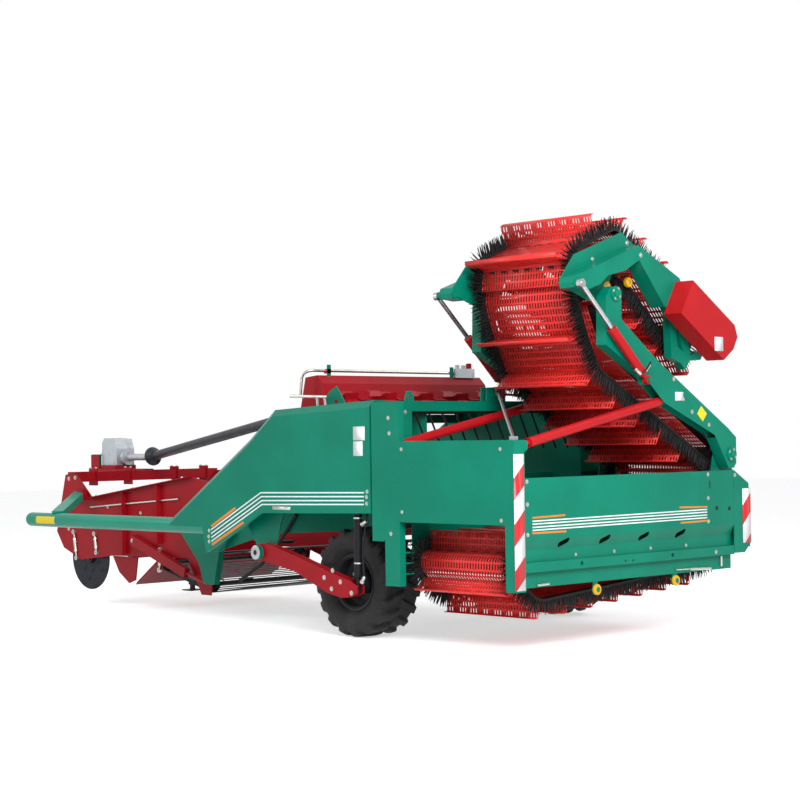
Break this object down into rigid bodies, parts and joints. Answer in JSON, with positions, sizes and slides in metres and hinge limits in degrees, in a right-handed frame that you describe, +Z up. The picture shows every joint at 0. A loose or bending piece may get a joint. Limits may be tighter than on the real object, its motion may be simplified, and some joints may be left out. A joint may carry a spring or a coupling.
{
  "type": "trailed potato harvester",
  "caption": "Trailed potato harvester: digging head with share and discs, rod webs, and a side elevator folded over the machine on a hinged boom.",
  "frame": {"origin": "on the ground, under the middle of the whole machine as parked", "axes": "+X forwards to the hitch, +Y to the machine's left, +Z up"},
  "size_m": [7.446, 3.08, 3.2291],
  "materials": {
    "green_paint": "satin",
    "red_paint": "satin",
    "black_paint": "satin",
    "bare_steel": "worn",
    "cast_iron": "matt",
    "red_plastic": "matt",
    "rubber": "matt",
    "tyre": "matt",
    "guard_plastic": "matt"
  },
  "bodies": {
    "machine": {"arm_brackets": "green_paint", "corner_post": "green_paint", "crossbeams": "green_paint", "curtain_rods": "black_paint", "digging_web": "bare_steel", "drive_shaft": "guard_plastic", "drop_legs": "green_paint", "gearboxes": "cast_iron", "guard_tube": "green_paint", "head_beam": "red_paint", "head_side_left": "red_paint", "head_side_right": "red_paint", "head_struts": "red_paint", "height_cylinders": "black_paint", "hitch_beam": "red_paint", "hood": "red_paint", "lower_belt": "red_plastic", "lower_rollers": "bare_steel", "parking_leg": "black_paint", "rear_beam": "green_paint", "rear_frame_left": "green_paint", "rear_frame_right": "green_paint", "rear_panel": "green_paint", "right_end_wall": "green_paint", "second_web": "red_paint", "share": "red_paint", "side_cover_left": "green_paint", "side_cover_right": "green_paint", "side_wall_left": "green_paint", "side_wall_right": "green_paint", "sign_board": "green_paint", "stay_strut": "bare_steel", "top_crossbeam": "green_paint", "trough_beams": "green_paint", "trough_wall_front": "green_paint", "trough_wall_rear": "green_paint", "web_rollers": "bare_steel", "wheel_arms": "red_paint"},
    "wheel_left": {"tyre_left": "tyre", "rim_left": "black_paint"},
    "wheel_right": {"tyre_right": "tyre", "rim_right": "black_paint"},
    "disc_left": {"disc_left": "bare_steel"},
    "disc_right": {"disc_right": "bare_steel"},
    "star_roller": {"star_roller": "red_paint"},
    "boom": {"boom_arm_rear": "green_paint", "boom_arm_front": "green_paint", "boom_belt": "red_plastic", "boom_rollers": "bare_steel"},
    "end_section": {"end_plate_rear": "green_paint", "end_plate_front": "green_paint", "end_belt": "red_plastic", "end_roller": "bare_steel", "drive_cover": "red_paint"},
    "lift_barrel": {"lift_barrels": "red_paint"},
    "lift_rod": {"lift_rods": "red_paint"},
    "fold_barrel": {"fold_barrels": "red_paint"},
    "fold_rod": {"fold_rods": "bare_steel"}
  },
  "joints": [
    {"name": "wheel_left_turn", "type": "hinge", "parent": "machine", "child": "wheel_left", "pos_m": [-1.617, 1.16, 0.437], "axis": [0, 1, 0], "continuous": true},
    {"name": "wheel_right_turn", "type": "hinge", "parent": "machine", "child": "wheel_right", "pos_m": [-1.617, -1.16, 0.437], "axis": [0, 1, 0], "continuous": true},
    {"name": "disc_left_turn", "type": "hinge", "parent": "machine", "child": "disc_left", "pos_m": [2.683, 0.86, 0.45], "axis": [0, 1, 0], "continuous": true},
    {"name": "disc_right_turn", "type": "hinge", "parent": "machine", "child": "disc_right", "pos_m": [2.683, -0.86, 0.45], "axis": [0, 1, 0], "continuous": true},
    {"name": "star_roller_turn", "type": "hinge", "parent": "machine", "child": "star_roller", "pos_m": [-1.017, 0, 1.88], "axis": [0, 1, 0], "continuous": true},
    {"name": "boom_fold", "type": "hinge", "parent": "machine", "child": "boom", "pos_m": [-2.857, -1.05, 1.403], "axis": [1, 0, 0], "range_deg": [0, 100]},
    {"name": "end_fold", "type": "hinge", "parent": "boom", "child": "end_section", "pos_m": [-2.857, 0.37, 2.637], "axis": [-1, 0, 0], "range_deg": [0, 58]},
    {"name": "lift_barrel_swing", "type": "hinge", "parent": "machine", "child": "lift_barrel", "pos_m": [-2.857, 1.395, 1.512], "axis": [1, 0, 0], "range_deg": [-1, 6]},
    {"name": "lift_rod_slide", "type": "slide", "parent": "lift_barrel", "child": "lift_rod", "axis": [0, -0.9811, 0.1936], "range_m": [0, 1.143]},
    {"name": "fold_barrel_swing", "type": "hinge", "parent": "boom", "child": "fold_barrel", "pos_m": [-2.857, 0.073, 1.986], "axis": [-1, 0, 0], "range_deg": [-1, 17.4]},
    {"name": "fold_rod_slide", "type": "slide", "parent": "fold_barrel", "child": "fold_rod", "axis": [0, 0.7296, 0.6839], "range_m": [-0.38, 0]}
  ],
  "couplings": [
    {"joint": "lift_barrel_swing", "follows": "boom_fold", "ratio": 0.03992},
    {"joint": "lift_rod_slide", "follows": "boom_fold", "m_per_rad": 0.65219},
    {"joint": "fold_barrel_swing", "follows": "end_fold", "ratio": 0.28214},
    {"joint": "fold_rod_slide", "follows": "end_fold", "m_per_rad": -0.37225}
  ]
}
